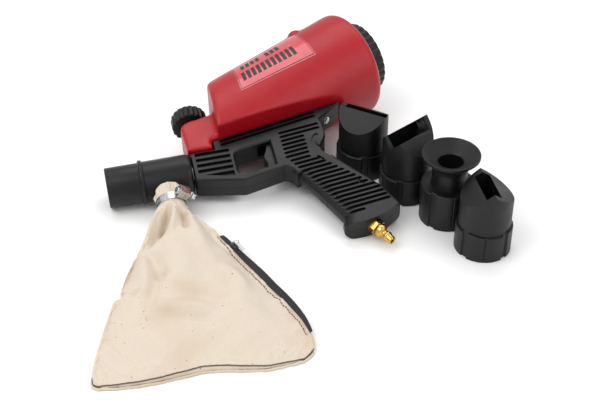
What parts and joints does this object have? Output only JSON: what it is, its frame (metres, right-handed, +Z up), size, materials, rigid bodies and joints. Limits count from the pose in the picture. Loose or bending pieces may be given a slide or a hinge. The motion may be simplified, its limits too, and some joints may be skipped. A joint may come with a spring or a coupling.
{
  "type": "gravity-feed sandblaster gun",
  "caption": "Hand-held gravity-feed sandblaster gun lying on its side, with a red hopper, cloth recovery bag, quick-connect air plug and loose nozzle tips.",
  "frame": {"origin": "on the floor, under the middle of the kit's bounding box", "axes": "+Z up; +X from the gun's mouth towards the loose tips; +Y from the bag towards the hopper. The gun lies on its right side."},
  "size_m": [0.4052, 0.489, 0.1163],
  "materials": {
    "black_plastic": "textured, satin",
    "black_rubber": "matt, moulded",
    "red_plastic": "semi-gloss, blow-moulded",
    "clear_label": "thin clear film",
    "brass": "turned, satin",
    "steel": "zinc plated",
    "ceramic": "fired, unglazed",
    "canvas": "plain woven cotton canvas",
    "zip_cloth": "woven polyester tape"
  },
  "bodies": {
    "gun": {"body_left": "black_plastic", "body_right": "black_plastic", "body_screw_1": "steel", "body_screw_2": "steel", "body_screw_3": "steel", "body_screw_4": "steel", "body_screw_5": "steel", "body_screw_6": "steel", "barrel": "black_plastic", "mouth_ring": "black_rubber", "mixing_chamber": "steel", "outlet_gasket": "black_rubber", "blast_nozzle": "ceramic", "nozzle_nut": "steel", "air_jet": "brass", "air_pipe": "brass", "valve_body": "brass", "valve_cap": "brass", "stem_seal": "black_rubber", "valve_spring": "steel", "inlet_pipe": "brass", "inlet_bush": "brass", "air_plug": "brass", "trigger_pin": "steel", "hopper": "red_plastic", "hopper_screw": "steel", "label": "clear_label", "clamp_band": "steel", "clamp_housing": "steel", "recovery_bag": "canvas", "zip_tape": "zip_cloth"},
    "trigger": {"trigger": "black_plastic"},
    "valve_stem": {"valve_stem": "steel"},
    "cap_seal": {"cap_gasket": "black_rubber"},
    "cap": {"hopper_cap": "black_plastic"},
    "flow_control": {"flow_knob": "black_plastic", "flow_stem": "steel"},
    "clamp_screw": {"clamp_screw": "steel"},
    "zip_slider": {"zip_slider": "steel"},
    "zip_puller": {"zip_puller": "steel"},
    "tip_narrow_wedge": {"tip_narrow_wedge": "black_rubber"},
    "tip_open_wedge": {"tip_open_wedge": "black_rubber"},
    "tip_disc": {"tip_disc": "black_rubber"},
    "tip_wide_wedge": {"tip_wide_wedge": "black_rubber"}
  },
  "joints": [
    {"name": "trigger_pull", "type": "hinge", "parent": "gun", "child": "trigger", "pos_m": [-0.0342, 0.07236, 0.03378], "axis": [-0.0094, -0.1914, 0.9815], "range_deg": [0, 8], "stiffness_Nm_per_rad": 1, "springref_deg": -8.59},
    {"name": "valve_open", "type": "slide", "parent": "gun", "child": "valve_stem", "axis": [0.9749, 0.2165, 0.0516], "range_m": [0, 0.0037]},
    {"name": "cap_lift", "type": "slide", "parent": "gun", "child": "cap_seal", "axis": [0.8146, 0.5678, 0.1185], "range_m": [0, 0.012]},
    {"name": "cap_turn", "type": "hinge", "parent": "cap_seal", "child": "cap", "pos_m": [0.05631, 0.20123, 0.05977], "axis": [0.8146, 0.5678, 0.1185], "range_deg": [0, 1080]},
    {"name": "flow_turn", "type": "hinge", "parent": "gun", "child": "flow_control", "pos_m": [-0.11901, 0.09984, 0.03832], "axis": [-0.2224, 0.9573, 0.1846], "range_deg": [0, 90]},
    {"name": "clamp_screw_turn", "type": "hinge", "parent": "gun", "child": "clamp_screw", "pos_m": [-0.11866, -0.00826, 0.03325], "axis": [0.7529, 0.2889, -0.5914], "continuous": true},
    {"name": "zip_slide", "type": "slide", "parent": "gun", "child": "zip_slider", "axis": [0.5817, -0.8134, 0], "range_m": [-0.018, 0.112]},
    {"name": "zip_puller_swing", "type": "hinge", "parent": "zip_slider", "child": "zip_puller", "pos_m": [-0.06455, -0.06699, 0.0174], "axis": [-0.8134, -0.5817, 0], "range_deg": [0, 150]},
    {"name": "tip_narrow_wedge_lift", "type": "slide", "parent": "gun", "child": "tip_narrow_wedge", "axis": [0, 0, 1], "range_m": [0, 0.09]},
    {"name": "tip_open_wedge_lift", "type": "slide", "parent": "gun", "child": "tip_open_wedge", "axis": [0, 0, 1], "range_m": [0, 0.09]},
    {"name": "tip_disc_lift", "type": "slide", "parent": "gun", "child": "tip_disc", "axis": [0, 0, 1], "range_m": [0, 0.09]},
    {"name": "tip_wide_wedge_lift", "type": "slide", "parent": "gun", "child": "tip_wide_wedge", "axis": [0, 0, 1], "range_m": [0, 0.09]}
  ],
  "couplings": [
    {"joint": "valve_open", "follows": "trigger_pull", "m_per_rad": 0.026},
    {"joint": "cap_lift", "follows": "cap_turn", "m_per_rad": 0.00063662}
  ]
}
